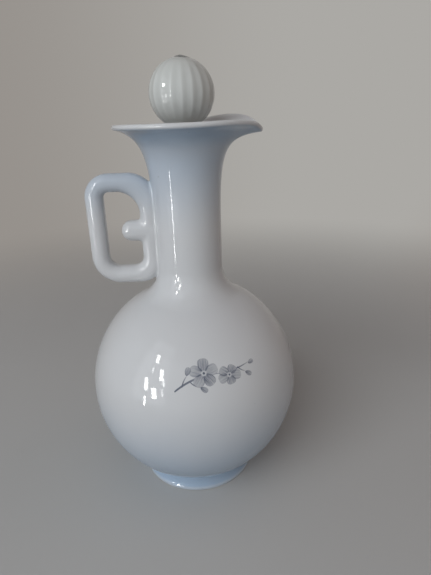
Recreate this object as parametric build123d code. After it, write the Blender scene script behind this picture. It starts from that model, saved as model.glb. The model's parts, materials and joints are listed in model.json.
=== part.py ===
"""Stoppered porcelain pouring bottle, modelled as its separate pieces.

The bottle is one casting: a foot ring, a round belly, a straight neck and a
wide mouth whose rim is pulled into a pouring spout. A closed ring handle with
a thumb nub is luted to the neck opposite the spout. The stopper is a fluted
ball on a stem, and a cork sleeve on the stem seats in the neck.

Frame: millimetres, +Z up, spout towards +X and handle towards -X. The origin
is the centre of the foot ring, on the surface that the bottle stands on.
"""
from build123d import *
import os
from math import cos, exp, pi, radians, sin, sqrt

# ---------------------------------------------------------------------------
# Driving dimensions, in mm and degrees
# ---------------------------------------------------------------------------
# Bottle: foot, belly and neck
WALL = 2.5                   # thickness of the casting
BELLY_RADIUS = 46.0          # outside radius of the round belly
NECK_RADIUS = 13.75          # outside radius of the straight neck
NECK_LENGTH = 19.8           # length of the straight neck, above its shoulder
SHOULDER_RADIUS = 15.0       # hollow curve between the belly and the neck
FOOT_RADIUS = 26.2           # outside radius of the foot ring at its lowest edge
FOOT_WAIST_RADIUS = 24.4     # outside radius where the foot ring meets the belly
FOOT_HEIGHT = 7.4            # height where it does
FOOT_BAND = 1.4              # height of the upright band at the foot's edge
FOOT_LAND = 3.6              # width of the ring that stands on the surface
FOOT_EDGE = 0.7              # round on the two edges of that ring
FOOT_RECESS = 2.5            # height of the hollow under the floor
FLOOR_THICKNESS = 3.5        # thickness of the floor inside the foot ring
FLOOR_FILLET = 5.0           # round between the floor and the wall, inside

# Bottle: mouth, rim and spout. Azimuths run from +X towards +Y. A sharpness
# says how quickly a rise or reach of the rim dies away on either side of it.
FLARE_RISE = 27.5            # how far the wall stays close to upright as it opens
FLARE_HEIGHT = 34.7          # from the straight neck to the underside of the rim
RIM_RADIUS = 26.5            # radius of the underside of the rim, handle side
RIM_RUN = 9.0                # width of the nearly flat part of the rim
RIM_DROP = 2.5               # fall of that part, from the edge inwards
LIP_THICKNESS = 2.0          # thickness of the wall at the edge of the rim
SPOUT_AZIMUTH = -3.0         # direction of the spout
SPOUT_REACH = 3.2            # how far the spout stands out beyond the rim
SPOUT_RUN = 4.5              # extra width of the nearly flat part at the spout
SPOUT_SHARPNESS = 8.0
SPOUT_DIP = 3.0              # fall of the edge at the tip of the spout
SPOUT_DIP_SHARPNESS = 25.0
HIGH_FLANK_AZIMUTH = 42.0    # the side of the spout that is pulled up high
HIGH_FLANK_RISE = 3.3
HIGH_FLANK_SHARPNESS = 4.0
LOW_FLANK_AZIMUTH = -52.0    # the side of the spout that is hardly raised
LOW_FLANK_RISE = 0.5
LOW_FLANK_SHARPNESS = 8.0
FLANK_SHARE = 0.5            # share of the edge's rise at the root of the flat part
MOUTH_STATIONS = 8           # rings up each side of the flaring wall
RING_POINTS = 36             # points on each of those rings

# Handle, a flat ring in the XZ plane
HANDLE_DROP = 3.7            # from the top of the straight neck to the ring's middle
HANDLE_HEIGHT = 45.4         # outside height of the ring
HANDLE_REACH = 40.7          # distance of the ring's outside from the axis
HANDLE_THICKNESS = 6.5       # thickness of the bar, in the plane of the ring
HANDLE_DEPTH = 8.2           # width of the bar, across the plane of the ring
HANDLE_EDGE = 2.7            # round on the edges of the bar
HANDLE_STANDOFF = 5.7        # how far the ring's inner bar stands out of the neck
BEND_TOP_GRIP = 6.4          # bend of the bar's centre line, top outer corner
BEND_TOP_NECK = 12.0         # top corner beside the neck
BEND_BOTTOM_NECK = 8.0       # bottom corner beside the neck
BEND_BOTTOM_GRIP = 8.6       # bottom outer corner
NUB_LENGTH = 8.0             # how far the thumb nub stands into the ring
NUB_HEIGHT = 7.4             # height of the nub
NUB_DROP = 0.7               # from the ring's middle down to the nub's
NUB_ROOT = 1.4               # round where the nub leaves the inner bar

# Stopper
KNOB_RADIUS = 12.4           # radius of the ball over the arrises of its flutes
KNOB_LIFT = 12.3             # from the rim up to the widest place of the ball
KNOB_RISE = 13.0             # height of the slightly pointed top above that
FLUTES = 20                  # hollow flutes round the ball
FLUTE_DEPTH = 0.45           # depth of a flute at the widest place
FLUTE_END = 66.0             # latitude where the flutes have run out
FLUTE_RINGS = 10             # steps of latitude that shape the flutes
STEM_RADIUS = 5.0            # radius of the stem inside the cork
STEM_END = 1.5               # length of stem that shows below the cork
COLLAR_RADIUS = 7.0          # radius of the stem between the cork and the ball
CORK_STANDS = 21.0           # length of the cork above the straight neck
CORK_SEATS = 5.0             # length of the cork inside the straight neck
CORK_TAPER = 0.6             # how much smaller its radius is at the foot
CORK_EDGE = 0.6              # bevel on the two ends of the cork
CORK_CLEARANCE = 0.15        # between the cork and the neck, all round

# ---------------------------------------------------------------------------
# Sizes that follow from them
# ---------------------------------------------------------------------------
BORE_RADIUS = NECK_RADIUS - WALL
CAVITY_RADIUS = BELLY_RADIUS - WALL
FLOOR_HEIGHT = FOOT_RECESS + FLOOR_THICKNESS
BELLY_HEIGHT = FOOT_HEIGHT + sqrt(BELLY_RADIUS**2 - FOOT_WAIST_RADIUS**2)
SHOULDER_CENTRE = (
    NECK_RADIUS + SHOULDER_RADIUS,
    BELLY_HEIGHT + sqrt(
        (BELLY_RADIUS + SHOULDER_RADIUS)**2 - (NECK_RADIUS + SHOULDER_RADIUS)**2
    ),
)
FLARE_START = SHOULDER_CENTRE[1] + NECK_LENGTH
RIM_HEIGHT = FLARE_START + FLARE_HEIGHT
HANDLE_CENTRE = FLARE_START - HANDLE_DROP
NUB_CENTRE = HANDLE_CENTRE - NUB_DROP
KNOB_HEIGHT = RIM_HEIGHT + KNOB_LIFT
CORK_TOP = FLARE_START + CORK_STANDS
CORK_BOTTOM = FLARE_START - CORK_SEATS

os.makedirs("parts", exist_ok=True)


# ---------------------------------------------------------------------------
# Bottle
# ---------------------------------------------------------------------------
def arc_about(centre, radius, start, end):
    """Arc of a circle in the XZ plane between the directions of two points."""
    middle = Vector(*centre)
    to_start = (Vector(*start) - middle).normalized() * radius
    to_end = (Vector(*end) - middle).normalized() * radius
    halfway = (to_start + to_end).normalized() * radius
    return ThreePointArc(middle + to_start, middle + halfway, middle + to_end)


def turned(outline):
    """Solid of revolution about Z of a closed outline given in radius, height."""
    return revolve(Plane.XZ * outline, Axis.Z)


def vessel_body():
    """Foot ring, belly, shoulder and the straight neck, in one revolved wall."""
    belly = (0, BELLY_HEIGHT)
    waist = (FOOT_WAIST_RADIUS, FOOT_HEIGHT)
    widest = (BELLY_RADIUS, BELLY_HEIGHT)
    neck_foot = (NECK_RADIUS, SHOULDER_CENTRE[1])
    neck_end = (NECK_RADIUS, FLARE_START)
    band_top = (FOOT_RADIUS, FOOT_BAND)
    lower_belly = arc_about(belly, BELLY_RADIUS, waist, widest)
    upper_belly = arc_about(belly, BELLY_RADIUS, widest, SHOULDER_CENTRE)
    outline = [
        Line((0, FLARE_START), (0, FOOT_RECESS)),
        Line((0, FOOT_RECESS), (FOOT_RADIUS - FOOT_LAND, FOOT_RECESS)),
        Line((FOOT_RADIUS - FOOT_LAND, FOOT_RECESS), (FOOT_RADIUS - FOOT_LAND, 0)),
        Line((FOOT_RADIUS - FOOT_LAND, 0), (FOOT_RADIUS, 0)),
        Line((FOOT_RADIUS, 0), band_top),
        TangentArc(waist, band_top, tangent=(0, -1)),
        lower_belly,
        upper_belly,
        arc_about(SHOULDER_CENTRE, SHOULDER_RADIUS, upper_belly @ 1, neck_foot),
        Line(neck_foot, neck_end),
        Line(neck_end, (0, FLARE_START)),
    ]
    outside = make_face(outline)
    feet = [v for v in outside.vertices() if abs(v.Y) < FOOT_EDGE / 10]
    outside = fillet(feet, FOOT_EDGE)

    floor_edge = (sqrt(CAVITY_RADIUS**2 - (BELLY_HEIGHT - FLOOR_HEIGHT)**2), FLOOR_HEIGHT)
    inner_belly = arc_about(belly, CAVITY_RADIUS, widest, SHOULDER_CENTRE)
    cavity = make_face([
        Line((0, FLARE_START), (0, FLOOR_HEIGHT)),
        Line((0, FLOOR_HEIGHT), floor_edge),
        arc_about(belly, CAVITY_RADIUS, floor_edge, widest),
        inner_belly,
        arc_about(SHOULDER_CENTRE, SHOULDER_RADIUS + WALL, inner_belly @ 1, neck_foot),
        Line((BORE_RADIUS, SHOULDER_CENTRE[1]), (BORE_RADIUS, FLARE_START)),
        Line((BORE_RADIUS, FLARE_START), (0, FLARE_START)),
    ])
    corner = [v for v in cavity.vertices() if abs(v.Y - FLOOR_HEIGHT) < 0.01 and v.X > 1]
    cavity = fillet(corner, FLOOR_FILLET)
    return turned(outside - cavity)


def swell(azimuth, centre, sharpness):
    """1 at the centre azimuth, dying away smoothly on both sides of it."""
    return exp(sharpness * (cos(radians(azimuth - centre)) - 1))


def mouth_ring(place, depth=0.0, beyond=0.0):
    """Closed curve round the flaring wall.

    place is the share of the way up the flare, depth the share of the wall's
    thickness in from its outside, and beyond how far past the edge of the rim
    the curve lies, as a share of that thickness.
    """
    points = []
    for index in range(RING_POINTS):
        azimuth = 360 * index / RING_POINTS
        spout = swell(azimuth, SPOUT_AZIMUTH, SPOUT_SHARPNESS)
        rise = (
            HIGH_FLANK_RISE * swell(azimuth, HIGH_FLANK_AZIMUTH, HIGH_FLANK_SHARPNESS)
            + LOW_FLANK_RISE * swell(azimuth, LOW_FLANK_AZIMUTH, LOW_FLANK_SHARPNESS)
            - SPOUT_DIP * swell(azimuth, SPOUT_AZIMUTH, SPOUT_DIP_SHARPNESS)
        )
        start = Vector(NECK_RADIUS, FLARE_START)
        rim = Vector(RIM_RADIUS + SPOUT_REACH * spout, RIM_HEIGHT + rise)
        root = Vector(
            rim.X - RIM_RUN - SPOUT_RUN * spout,
            RIM_HEIGHT - RIM_DROP + FLANK_SHARE * rise,
        )
        outside = Bezier(start, start + (0, FLARE_RISE), root, rim)
        wall = WALL + (LIP_THICKNESS - WALL) * place
        upward = outside % place
        across = upward.rotate(Axis.Z, 90)
        point = outside @ place + across * (wall * depth) + upward * (wall * beyond)
        points.append(Vector(point.X, 0, point.Y).rotate(Axis.Z, azimuth))
    return Wire([Edge.make_spline(points, periodic=True)])


def mouth():
    """Flaring mouth: its outside, its rounded lip and its inside, closed below."""
    neck = Wire([Edge.make_circle(NECK_RADIUS, Plane.XY.offset(FLARE_START))])
    bore = Wire([Edge.make_circle(BORE_RADIUS, Plane.XY.offset(FLARE_START))])
    places = [(i + 1) / MOUTH_STATIONS for i in range(MOUTH_STATIONS)]
    outside = [neck] + [mouth_ring(place) for place in places]
    inside = [mouth_ring(place, depth=1.0) for place in reversed(places)] + [bore]
    lip = [
        mouth_ring(1.0, depth=(1 - cos(radians(turn))) / 2, beyond=sin(radians(turn)) / 2)
        for turn in (45, 90, 135)
    ]
    skins = [outside, outside[-1:] + lip + inside[:1], inside]
    faces = [Shell.make_loft(skin).faces()[0] for skin in skins]
    return Part([Solid(Shell(faces + [Face(neck, [bore])]))])


# ---------------------------------------------------------------------------
# Handle
# ---------------------------------------------------------------------------
def ring_handle(vessel):
    """Flat ring with a thumb nub, rounded all over and shaped to the neck."""
    half = HANDLE_THICKNESS / 2
    left = -HANDLE_REACH
    right = -(NECK_RADIUS + HANDLE_STANDOFF) + HANDLE_THICKNESS
    top = HANDLE_CENTRE + HANDLE_HEIGHT / 2
    bottom = HANDLE_CENTRE - HANDLE_HEIGHT / 2
    bends = [BEND_TOP_GRIP, BEND_TOP_NECK, BEND_BOTTOM_NECK, BEND_BOTTOM_GRIP]

    def loop(inset):
        corners = [
            (left + inset, top - inset),
            (right - inset, top - inset),
            (right - inset, bottom + inset),
            (left + inset, bottom + inset),
        ]
        radii = [bend + half - inset for bend in bends]
        return make_face(FilletPolyline(*corners, radius=radii, close=True))

    inner_face = right - HANDLE_THICKNESS
    tip = inner_face - NUB_LENGTH + NUB_HEIGHT / 2
    nub = Pos((tip + right) / 2, NUB_CENTRE) * Rectangle(right - tip, NUB_HEIGHT)
    nub += Pos(tip, NUB_CENTRE) * Circle(NUB_HEIGHT / 2)
    hole = loop(HANDLE_THICKNESS) - nub
    roots = [v for v in hole.vertices() if abs(v.X - inner_face) < 0.01
             and abs(abs(v.Y - NUB_CENTRE) - NUB_HEIGHT / 2) < 0.01]
    hole = fillet(roots, NUB_ROOT)
    outline = loop(0) - hole
    ring = extrude(Plane.XZ * outline, HANDLE_DEPTH / 2, both=True)
    edges = [e for e in ring.edges() if abs(abs(e.center().Y) - HANDLE_DEPTH / 2) < 0.01]
    return fillet(edges, HANDLE_EDGE) - vessel


# ---------------------------------------------------------------------------
# Stopper
# ---------------------------------------------------------------------------
def flute_ring(latitude):
    """Closed outline of the ball at a latitude, one arc for each flute."""
    radius = KNOB_RADIUS * cos(radians(latitude))
    middle = radius - FLUTE_DEPTH * cos(radians(90 * latitude / FLUTE_END))
    height = KNOB_HEIGHT + KNOB_RADIUS * sin(radians(latitude))

    def at(distance, turn):
        return Vector(distance, 0, height).rotate(Axis.Z, 360 * turn / FLUTES)

    return Wire([
        Edge.make_three_point_arc(at(radius, i), at(middle, i + 0.5), at(radius, i + 1))
        for i in range(FLUTES)
    ])


def fluted_knob():
    """Fluted ball with a plain, slightly pointed top, on a collar and a stem."""
    latitudes = [FLUTE_END * (2 * i / FLUTE_RINGS - 1) for i in range(FLUTE_RINGS + 1)]
    ball = Part([Solid.make_loft([flute_ring(latitude) for latitude in latitudes])])

    end = radians(FLUTE_END)
    edge = Vector(KNOB_RADIUS * cos(end), KNOB_HEIGHT + KNOB_RADIUS * sin(end))
    pole = Vector(0, KNOB_HEIGHT + KNOB_RISE)
    dome = TangentArc(edge, pole, tangent=(-sin(end), cos(end)))
    base = Vector(0, edge.Y)
    top = turned(make_face([dome, Line(pole, base), Line(base, edge)]))

    upward = (Align.CENTER, Align.CENTER, Align.MIN)
    stem_foot = CORK_BOTTOM - STEM_END
    stem = Cylinder(STEM_RADIUS, CORK_TOP - stem_foot, align=upward)
    collar = Cylinder(COLLAR_RADIUS, KNOB_HEIGHT - CORK_TOP, align=upward)
    return ball + top + Pos(0, 0, stem_foot) * stem + Pos(0, 0, CORK_TOP) * collar


def cork_sleeve():
    """Tapered cork round the stem, bored to it and clear of the neck."""
    seat = BORE_RADIUS - CORK_CLEARANCE
    foot = seat - CORK_TAPER
    return turned(make_face(Polyline(
        (STEM_RADIUS, CORK_BOTTOM),
        (foot - CORK_EDGE, CORK_BOTTOM),
        (foot, CORK_BOTTOM + CORK_EDGE),
        (seat, FLARE_START),
        (seat, CORK_TOP - CORK_EDGE),
        (seat - CORK_EDGE, CORK_TOP),
        (STEM_RADIUS, CORK_TOP),
        close=True,
    )))


# ---------------------------------------------------------------------------
# Pieces
# ---------------------------------------------------------------------------
bottle = vessel_body() + mouth()
pieces = {
    "bottle": bottle,
    "handle": ring_handle(bottle),
    "stopper_knob": fluted_knob(),
    "stopper_cork": cork_sleeve(),
}
for name, piece in pieces.items():
    piece.label = name
    export_step(piece, f"parts/{name}.step")
    print(f"{name}: {len(piece.solids())} solid, {piece.volume / 1000:.2f} cm3")
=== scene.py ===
# %% [markdown]
# # A stoppered porcelain pouring bottle
#
# The real object has four pieces: a slip-cast porcelain bottle, a closed ring
# handle luted to its neck, a fluted ball stopper, and the cork sleeve that
# seats the stopper in the neck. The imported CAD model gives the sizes; only the
# handle's bar is a little fuller here, and slip and glaze fill the hollows.
# Each piece is made again as a fine smooth mesh in the same place, and given a
# glaze, a sprayed tint and brush painting that are worked out by nodes.
# Everything is in metres, with +Z up and the spout towards +X.

import json
import math

import bpy
import numpy as np
from mathutils import Matrix, Vector

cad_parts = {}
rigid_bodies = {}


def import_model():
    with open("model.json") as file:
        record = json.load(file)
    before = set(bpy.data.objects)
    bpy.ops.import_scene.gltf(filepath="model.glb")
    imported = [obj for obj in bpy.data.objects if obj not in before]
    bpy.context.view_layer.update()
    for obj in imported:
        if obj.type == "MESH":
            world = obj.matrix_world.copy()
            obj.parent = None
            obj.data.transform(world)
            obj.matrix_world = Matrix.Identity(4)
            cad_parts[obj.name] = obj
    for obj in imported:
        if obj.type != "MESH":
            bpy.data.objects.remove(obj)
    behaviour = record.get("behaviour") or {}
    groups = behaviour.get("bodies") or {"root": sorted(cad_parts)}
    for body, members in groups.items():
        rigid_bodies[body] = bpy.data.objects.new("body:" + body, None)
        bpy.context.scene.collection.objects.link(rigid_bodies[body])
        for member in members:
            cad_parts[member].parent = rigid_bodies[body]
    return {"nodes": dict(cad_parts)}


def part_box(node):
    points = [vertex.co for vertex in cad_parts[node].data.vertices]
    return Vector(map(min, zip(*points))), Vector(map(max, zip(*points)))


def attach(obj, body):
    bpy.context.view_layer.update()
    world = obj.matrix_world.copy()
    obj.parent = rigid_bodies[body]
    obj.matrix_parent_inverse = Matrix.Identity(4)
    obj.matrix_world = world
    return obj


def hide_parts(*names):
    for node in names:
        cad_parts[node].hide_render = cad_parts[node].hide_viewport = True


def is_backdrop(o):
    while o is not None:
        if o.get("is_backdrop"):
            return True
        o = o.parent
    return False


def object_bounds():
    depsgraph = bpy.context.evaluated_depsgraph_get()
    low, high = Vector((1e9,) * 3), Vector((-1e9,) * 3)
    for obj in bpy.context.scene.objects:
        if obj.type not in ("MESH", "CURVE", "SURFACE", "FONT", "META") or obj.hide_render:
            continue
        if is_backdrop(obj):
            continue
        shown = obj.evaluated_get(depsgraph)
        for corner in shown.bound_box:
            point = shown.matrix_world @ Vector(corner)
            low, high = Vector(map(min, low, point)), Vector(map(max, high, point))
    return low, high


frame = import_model()
cad_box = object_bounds()
MM = 0.001

scene = bpy.context.scene
scene.view_settings.view_transform = "Standard"
print("CAD nodes:", sorted(frame["nodes"]))
print("CAD box in mm:", [[round(v / MM, 1) for v in corner] for corner in cad_box])

# %% [markdown]
# ## Camera
#
# A small object that fills the picture is seen from close by, so perspective
# is strong. The camera is about level with the mouth, which is seen almost edge
# on, while the belly and the foot are seen from above and from further away.
# Blender measures the sensor along the picture's longer side.

# %% Place the camera
PICTURE = (431, 575)
PLACE = Vector((0, -0.17714, 0.1563))
TURN, TILT, ROLL = (math.radians(angle) for angle in (3.43, 20.87, -1.61))
SENSOR = 36

forward = math.cos(TILT)
ahead = Vector((math.sin(TURN) * forward, math.cos(TURN) * forward, -math.sin(TILT)))
level = Vector((math.cos(TURN), -math.sin(TURN), 0))
above = level.cross(ahead)
right = math.cos(ROLL) * level + math.sin(ROLL) * above
up = math.cos(ROLL) * above - math.sin(ROLL) * level

camera_data = bpy.data.cameras.new("camera")
camera_data.sensor_width = SENSOR
camera_data.lens = SENSOR * PICTURE[0] / PICTURE[1]
camera_data.clip_start = 0.01
camera = bpy.data.objects.new("camera", camera_data)
turned = Matrix((right, up, -ahead)).transposed().to_4x4()
camera.matrix_world = Matrix.Translation(PLACE) @ turned
scene.collection.objects.link(camera)
scene.camera = camera
print(f"Camera: {camera_data.lens:.2f} mm lens, {camera.location.length:.3f} m from the foot")

# %% [markdown]
# ## Helpers for nodes
#
# The glaze, the painting and two of the pieces are worked out by nodes. A
# formula is hard to read when each node is placed by hand. So a small class
# stands for an output socket and answers to +, -, * and /, and each sum adds
# the Math node that it needs, in shader trees and geometry trees alike.

# %% Sockets that add up like numbers
def wire(tree, value, socket):
    """Link a term to a socket, or set the socket's own value."""
    if isinstance(value, Term):
        tree.links.new(value.socket, socket)
    elif value is not None:
        socket.default_value = value


class Term:
    """An output socket of a node tree, used like a number in a formula."""

    def __init__(self, tree, socket):
        self.tree, self.socket = tree, socket

    def maths(self, operation, *others):
        node = self.tree.nodes.new("ShaderNodeMath")
        node.operation = operation
        for value, socket in zip((self, *others), node.inputs):
            wire(self.tree, value, socket)
        return Term(self.tree, node.outputs[0])

    def __add__(self, other):
        return self.maths("ADD", other)

    def __sub__(self, other):
        return self.maths("SUBTRACT", other)

    def __mul__(self, other):
        return self.maths("MULTIPLY", other)

    def __truediv__(self, other):
        return self.maths("DIVIDE", other)

    def __rsub__(self, other):
        return self * -1 + other

    def __neg__(self):
        return self * -1

    def __abs__(self):
        return self.maths("ABSOLUTE")

    __radd__ = __add__
    __rmul__ = __mul__


def length_of(*terms):
    """Length of the vector whose parts are the terms."""
    total = sum((term * term for term in terms[1:]), terms[0] * terms[0])
    return total.maths("SQRT")


def within(term, low, high):
    """The term, held between two values."""
    return term.maths("MAXIMUM", low).maths("MINIMUM", high)


def add(tree, kind, values=None, output=0, **settings):
    """Add a node, set it up, wire its inputs and return one output, or all by name."""
    node = tree.nodes.new(kind)
    for key, value in settings.items():
        setattr(node, key, value)
    for key, value in (values or {}).items():
        if isinstance(key, str):
            socket = next(s for s in node.inputs if s.name == key and s.enabled)
        else:
            socket = node.inputs[key]
        wire(tree, value, socket)
    if output is None:
        return {s.name: Term(tree, s) for s in node.outputs}
    return Term(tree, node.outputs[output])


def parts_of(tree, vector):
    """The X, Y and Z of a vector, as three terms."""
    node = tree.nodes.new("ShaderNodeSeparateXYZ")
    wire(tree, vector, node.inputs[0])
    return [Term(tree, socket) for socket in node.outputs]


def in_mm(tree, place):
    """The X, Y and Z of a place, in mm."""
    return [part * (1 / MM) for part in parts_of(tree, place)]


def joined(tree, x, y, z):
    """A vector from three terms or numbers."""
    return add(tree, "ShaderNodeCombineXYZ", {"X": x, "Y": y, "Z": z})


def ramp(tree, value, low, high, ends=(0.0, 1.0)):
    """Smooth step of a value from one end to the other between low and high."""
    return add(tree, "ShaderNodeMapRange", {
        "Value": value, "From Min": low, "From Max": high, "To Min": ends[0], "To Max": ends[1],
    }, interpolation_type="SMOOTHSTEP")


def noise(tree, place, scale, detail):
    """Smooth noise from 0 to 1."""
    return add(tree, "ShaderNodeTexNoise", {"Vector": place, "Scale": scale, "Detail": detail})


def mixed(tree, share, first, second):
    """The second colour over the first by a share."""
    values = {0: share, 6: first, 7: second}
    return add(tree, "ShaderNodeMix", values, output=2, data_type="RGBA")


SOCKET_KINDS = {float: "Float", int: "Int", tuple: "Color", type(None): "Vector"}


def new_group(name, kind, inputs, outputs):
    """A node group with named inputs and outputs; returns it and its input terms.

    An input is given by its default, by None for a vector, or by the word for
    its kind of socket.
    """
    tree = bpy.data.node_groups.new(name, kind)
    for label, default in inputs.items():
        named = isinstance(default, str)
        word = default if named else SOCKET_KINDS[type(default)]
        socket = tree.interface.new_socket(label, in_out="INPUT", socket_type="NodeSocket" + word)
        if default is not None and not named:
            socket.default_value = default
    for label, word in outputs.items():
        tree.interface.new_socket(label, in_out="OUTPUT", socket_type="NodeSocket" + word)
    given = tree.nodes.new("NodeGroupInput")
    terms = {s.name: Term(tree, s) for s in given.outputs if s.name}
    return tree, terms


def give_out(tree, **values):
    """Wire the group's outputs; a name's spaces are written as underscores."""
    result = tree.nodes.new("NodeGroupOutput")
    for key, value in values.items():
        wire(tree, value, result.inputs[key.replace("_", " ")])


def use(tree, group, values, output=0):
    """Put a finished shader group into a tree."""
    return add(tree, "ShaderNodeGroup", values, output, node_tree=group)


def colour(red, green, blue):
    """A colour written as 0 to 255 in sRGB, as the linear colour nodes want."""
    def linear(value):
        value /= 255
        return value / 12.92 if value <= 0.04045 else ((value + 0.055) / 1.055) ** 2.4
    return (linear(red), linear(green), linear(blue), 1.0)


print("Helpers ready")

# %% [markdown]
# ## Sizes
#
# The CAD model was drawn from the same sizes, in millimetres. After each piece
# is made, its box is printed beside the box of its CAD node as a check.

# %% Sizes of the real pieces, in mm
WALL = 2.5
BELLY_RADIUS, NECK_RADIUS, NECK_LENGTH, SHOULDER_RADIUS = 46.0, 13.75, 19.8, 15.0
FOOT_RADIUS, FOOT_WAIST, FOOT_HEIGHT, FOOT_BAND, FOOT_LAND = 26.2, 24.4, 7.4, 1.4, 3.6
FOOT_EDGE, FOOT_RECESS, FLOOR_THICKNESS = 0.7, 2.5, 3.5
FLARE_RISE, FLARE_HEIGHT = 27.5, 34.7
RIM_RADIUS, RIM_RUN, RIM_DROP, LIP = 26.5, 9.0, 2.5, 2.0
SPOUT_REACH, SPOUT_RUN, SPOUT_DIP = 3.2, 4.5, 3.0
HIGH_FLANK_RISE, LOW_FLANK_RISE, FLANK_SHARE = 3.3, 0.5, 0.5
KNOB_RADIUS, KNOB_LIFT, KNOB_RISE, FLUTE_END = 12.4, 12.3, 13.0, 66.0
STEM_RADIUS, COLLAR_RADIUS, CORK_CLEARANCE = 5.0, 7.0, 0.15
STEM_FOOT, CORK_FOOT, CORK_TOP = 113.5, 115.0, 141.0

belly_height = FOOT_HEIGHT + math.sqrt(BELLY_RADIUS**2 - FOOT_WAIST**2)
shoulder_side = NECK_RADIUS + SHOULDER_RADIUS
shoulder_rise = math.sqrt((BELLY_RADIUS + SHOULDER_RADIUS)**2 - shoulder_side**2)
shoulder_height = belly_height + shoulder_rise
shoulder_turn = math.degrees(math.atan2(shoulder_rise, shoulder_side))
flare_start = shoulder_height + NECK_LENGTH
rim_height = flare_start + FLARE_HEIGHT
knob_height = rim_height + KNOB_LIFT
bore_radius, cavity_radius = NECK_RADIUS - WALL, BELLY_RADIUS - WALL
print(f"Neck from {shoulder_height:.1f} to {flare_start:.1f} mm, rim at {rim_height:.1f} mm")

# %% [markdown]
# ## The bottle
#
# A slip-cast bottle has one wall all the way: foot, belly, shoulder, neck and a
# mouth that opens into a thin flat rim. Most of it is round. The mouth isn't:
# its rim is pulled out into a spout, and the clay beside the spout lifts. One
# grid of rows serves both, because a row may have a different radius and height
# at each azimuth. The rows run from under the floor, up the outside, over the
# rim and down the inside, and each end closes in one point.

# %% Rows of the round body
def arc(centre, radius, first, last, steps):
    """Points of an arc in radius and height, between two directions in degrees."""
    turns = np.radians(np.linspace(first, last, steps + 1))
    across, up = np.cos(turns), np.sin(turns)
    return np.stack([centre[0] + radius * across, centre[1] + radius * up], 1)


def direction(centre, point):
    """Direction in degrees from a centre to a point, in radius and height."""
    return math.degrees(math.atan2(point[1] - centre[1], point[0] - centre[0]))


def meeting(first, first_radius, second, second_radius, side):
    """Where two circles cross, on the chosen side of the line between centres."""
    first, second = np.array(first, float), np.array(second, float)
    apart = second - first
    distance = np.hypot(*apart)
    along = (distance**2 + first_radius**2 - second_radius**2) / (2 * distance)
    off = math.sqrt(first_radius**2 - along**2)
    unit = apart / distance
    return first + unit * along + side * off * np.array([-unit[1], unit[0]])


def straight(start, end, steps):
    """Points of a straight run, both ends included."""
    return np.linspace(start, end, steps + 1)


SLIP_FILLET = 1.6  # glaze and slip fill the hollow where foot meets belly
RECESS_ROUND = 1.2  # round at the root of the ring, under the floor
BAND_ROUND = 0.5  # round over the upright band at the foot's edge
FLOOR_TURN = -62  # direction in which the inside runs into the floor
FLOOR_SHARE = 0.4  # share of the inside radius where the floor is flat
belly = (0.0, belly_height)
foot_drop = FOOT_HEIGHT - FOOT_BAND
foot_spread = FOOT_RADIUS - FOOT_WAIST
cove_radius = (foot_drop**2 + foot_spread**2) / (2 * foot_spread)
cove = (FOOT_WAIST + cove_radius, FOOT_HEIGHT)
fillet = meeting(belly, BELLY_RADIUS + SLIP_FILLET, cove, cove_radius - SLIP_FILLET, -1)
land = FOOT_RADIUS - FOOT_LAND
recess = land - RECESS_ROUND
shoulder = (shoulder_side, shoulder_height)
floor_top = FOOT_RECESS + FLOOR_THICKNESS
band_turn = direction(cove, (FOOT_RADIUS, FOOT_BAND)) - 3

outside_rows = [
    straight((0, FOOT_RECESS), (recess, FOOT_RECESS), 10),
    arc((recess, FOOT_RECESS - RECESS_ROUND), RECESS_ROUND, 90, 0, 6),
    arc((land + FOOT_EDGE, FOOT_EDGE), FOOT_EDGE, 180, 270, 6),
    arc((FOOT_RADIUS - FOOT_EDGE, FOOT_EDGE), FOOT_EDGE, 270, 360, 8),
    arc((FOOT_RADIUS - BAND_ROUND, FOOT_BAND - 0.1), BAND_ROUND, 0, 30, 3),
    arc(cove, cove_radius, band_turn, direction(cove, fillet), 12),
    arc(fillet, SLIP_FILLET, direction(cove, fillet) + 360, direction(fillet, belly), 8),
    arc(belly, BELLY_RADIUS, direction(belly, fillet), shoulder_turn, 96),
    arc(shoulder, SHOULDER_RADIUS, shoulder_turn - 180, -180, 24),
    straight((NECK_RADIUS, shoulder_height), (NECK_RADIUS, flare_start), 12),
]
inside_rows = [
    straight((bore_radius, flare_start), (bore_radius, shoulder_height), 8),
    arc(shoulder, SHOULDER_RADIUS + WALL, -180, shoulder_turn - 180, 12),
    arc(belly, cavity_radius, shoulder_turn, FLOOR_TURN, 40),
    straight((FLOOR_SHARE * cavity_radius, floor_top), (0, floor_top), 5),
]
print("Round body:", sum(map(len, outside_rows + inside_rows)), "rows")

# %% [markdown]
# ### The spouted mouth
#
# At every azimuth the outside of the mouth is one Bezier curve. It leaves the
# neck upright and ends in a rim that is nearly flat. Smooth swellings change
# its radius and height round the rim: the spout reaches out and dips at its
# tip, and one side of the spout stands higher than the other. The inside is the
# same curve, moved in by the wall, and a half round joins the two as the lip.

# %% Rows of the mouth
COLUMNS = 216
azimuths = np.radians(np.arange(COLUMNS) * 360 / COLUMNS)


def swell(centre, sharpness):
    """1 at an azimuth in degrees, dying away smoothly round the rim."""
    return np.exp(sharpness * (np.cos(azimuths - math.radians(centre)) - 1))


spout, spout_tip = swell(-3, 8), swell(-3, 25)
high_flank, low_flank = swell(42, 4), swell(-52, 8)
rise = HIGH_FLANK_RISE * high_flank + LOW_FLANK_RISE * low_flank - SPOUT_DIP * spout_tip


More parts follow.
